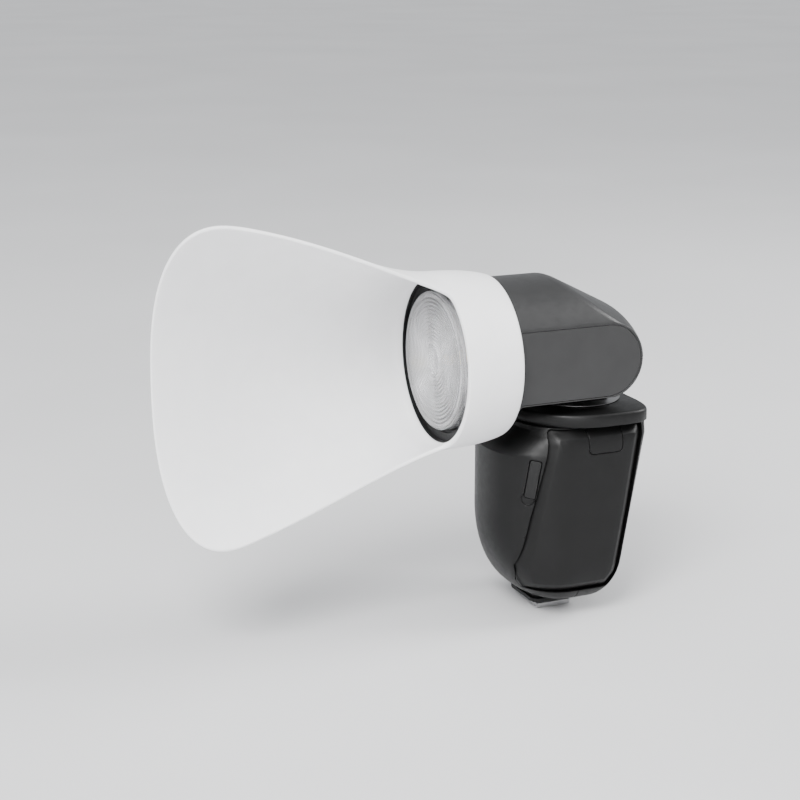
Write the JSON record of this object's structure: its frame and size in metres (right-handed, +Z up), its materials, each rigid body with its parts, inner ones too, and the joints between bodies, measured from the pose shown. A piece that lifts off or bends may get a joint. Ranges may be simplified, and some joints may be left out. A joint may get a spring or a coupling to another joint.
{
  "type": "snoot",
  "caption": "Open flared bounce snoot, a white one-piece scoop on a black mount ring, on the round head of a camera flash that tilts, swivels and zooms.",
  "frame": {"origin": "centre of the underside of the flash's hot-shoe foot", "axes": "+Z up, the lens looks along -Y, the battery is on the +X side"},
  "size_m": [0.0847, 0.238, 0.2024],
  "materials": {
    "white_silicone": "satin white silicone",
    "head_plastic": "satin dark grey",
    "body_plastic": "fine matt black",
    "black_plastic": "matt black",
    "panel_plastic": "semi-gloss black",
    "grip_rubber": "ribbed matt black",
    "port_rubber": "matt black",
    "button_plastic": "matt dark grey",
    "lens_glass": "clear, ridged",
    "tube_glass": "clear",
    "display_glass": "dark, glossy",
    "reflector_metal": "polished",
    "bearing_steel": "turned",
    "foot_metal": "satin",
    "contact_metal": "gold-plated",
    "circuit_board": "green lacquer",
    "capacitor_sleeve": "shrink sleeve",
    "light_diode": "phosphor yellow"
  },
  "bodies": {
    "body": {"body_front_shell": "body_plastic", "body_rear_shell": "body_plastic", "top_plate": "body_plastic", "foot_block": "body_plastic", "foot_plate": "foot_metal", "contact_1": "contact_metal", "contact_2": "contact_metal", "contact_3": "contact_metal", "contact_4": "contact_metal", "contact_5": "contact_metal", "rear_panel": "panel_plastic", "display_window": "display_glass", "display_module": "black_plastic", "control_board": "circuit_board", "main_board": "circuit_board", "capacitor": "capacitor_sleeve", "battery_terminal_1": "contact_metal", "battery_terminal_2": "contact_metal", "battery_terminal_3": "contact_metal"},
    "neck": {"neck_yoke": "black_plastic", "swivel_disc": "bearing_steel", "swivel_retaining_ring": "bearing_steel"},
    "head": {"head_top_cover": "head_plastic", "head_bottom_cover": "head_plastic", "head_side_cover_left": "head_plastic", "head_side_cover_right": "head_plastic", "head_frame": "black_plastic", "barrel_tube": "black_plastic", "front_bezel": "black_plastic", "fresnel_lens": "lens_glass", "tilt_axle": "bearing_steel", "guide_rod_left": "bearing_steel", "guide_rod_right": "bearing_steel"},
    "zoom_ring": {"zoom_ring": "grip_rubber"},
    "zoom_carriage": {"zoom_carriage": "black_plastic", "reflector": "reflector_metal", "flash_tube": "tube_glass", "modelling_light": "light_diode"},
    "mount_ring": {"snoot_mount_ring": "black_plastic"},
    "snoot": {"snoot_shell": "white_silicone"},
    "battery": {"battery_pack": "body_plastic"},
    "battery_latch": {"battery_latch": "body_plastic"},
    "port_cover": {"port_cover": "port_rubber"},
    "menu_button": {"menu_button": "button_plastic"},
    "mode_button": {"mode_button": "button_plastic"},
    "test_button": {"test_button": "button_plastic"},
    "power_button": {"power_button": "button_plastic"},
    "control_dial": {"control_dial": "button_plastic"},
    "set_button": {"set_button": "button_plastic"},
    "lock_lever": {"lock_lever": "black_plastic"},
    "locking_pin": {"locking_pin": "contact_metal"}
  },
  "joints": [
    {"name": "head_swivel", "type": "hinge", "parent": "body", "child": "neck", "pos_m": [0, 0.014, 0.1045], "axis": [0, 0, 1], "range_deg": [-180, 180]},
    {"name": "head_tilt", "type": "hinge", "parent": "neck", "child": "head", "pos_m": [0, 0.014, 0.129], "axis": [-1, 0, 0], "range_deg": [0, 90]},
    {"name": "zoom_ring_turn", "type": "hinge", "parent": "head", "child": "zoom_ring", "pos_m": [0, -0.045, 0.129], "axis": [0, 1, 0], "range_deg": [0, 80]},
    {"name": "zoom_travel", "type": "slide", "parent": "head", "child": "zoom_carriage", "axis": [0, 1, 0], "range_m": [0, 0.0121]},
    {"name": "snoot_pull_off", "type": "slide", "parent": "head", "child": "mount_ring", "axis": [0, -1, 0], "range_m": [0, 0.03]},
    {"name": "snoot_turn", "type": "hinge", "parent": "mount_ring", "child": "snoot", "pos_m": [0, -0.055, 0.129], "axis": [0, 1, 0], "continuous": true},
    {"name": "battery_slide", "type": "slide", "parent": "body", "child": "battery", "axis": [1, 0, 0], "range_m": [0, 0.03]},
    {"name": "battery_latch_press", "type": "slide", "parent": "battery", "child": "battery_latch", "axis": [-1, 0, 0], "range_m": [0, 0.0015], "stiffness_N_per_m": 700, "springref_m": -0.0008},
    {"name": "port_cover_open", "type": "hinge", "parent": "body", "child": "port_cover", "pos_m": [0.02875, -0.02154, 0.08229], "axis": [-0.5806, -0.7991, 0.1564], "range_deg": [0, 95]},
    {"name": "menu_button_press", "type": "slide", "parent": "body", "child": "menu_button", "axis": [0, -0.9829, 0.184], "range_m": [0, 0.0008], "stiffness_N_per_m": 400, "springref_m": -0.0008},
    {"name": "mode_button_press", "type": "slide", "parent": "body", "child": "mode_button", "axis": [0, -0.9829, 0.184], "range_m": [0, 0.0008], "stiffness_N_per_m": 400, "springref_m": -0.0008},
    {"name": "test_button_press", "type": "slide", "parent": "body", "child": "test_button", "axis": [0, -0.9829, 0.184], "range_m": [0, 0.0008], "stiffness_N_per_m": 400, "springref_m": -0.0008},
    {"name": "power_button_press", "type": "slide", "parent": "body", "child": "power_button", "axis": [0, -0.9829, 0.184], "range_m": [0, 0.0008], "stiffness_N_per_m": 400, "springref_m": -0.0008},
    {"name": "set_button_press", "type": "slide", "parent": "body", "child": "set_button", "axis": [0, -0.9829, 0.184], "range_m": [0, 0.0008], "stiffness_N_per_m": 400, "springref_m": -0.0008},
    {"name": "control_dial_turn", "type": "hinge", "parent": "body", "child": "control_dial", "pos_m": [0, 0.02958, 0.0428], "axis": [0, 0.9829, -0.184], "continuous": true},
    {"name": "lock_lever_turn", "type": "hinge", "parent": "body", "child": "lock_lever", "pos_m": [0, 0.0095, 0.0075], "axis": [0, 0, 1], "range_deg": [0, 60]},
    {"name": "locking_pin_drop", "type": "slide", "parent": "body", "child": "locking_pin", "axis": [0, 0, -1], "range_m": [0, 0.0018]}
  ],
  "couplings": [
    {"joint": "zoom_travel", "follows": "zoom_ring_turn", "m_per_rad": 0.0085943},
    {"joint": "locking_pin_drop", "follows": "lock_lever_turn", "m_per_rad": 0.0017189}
  ]
}
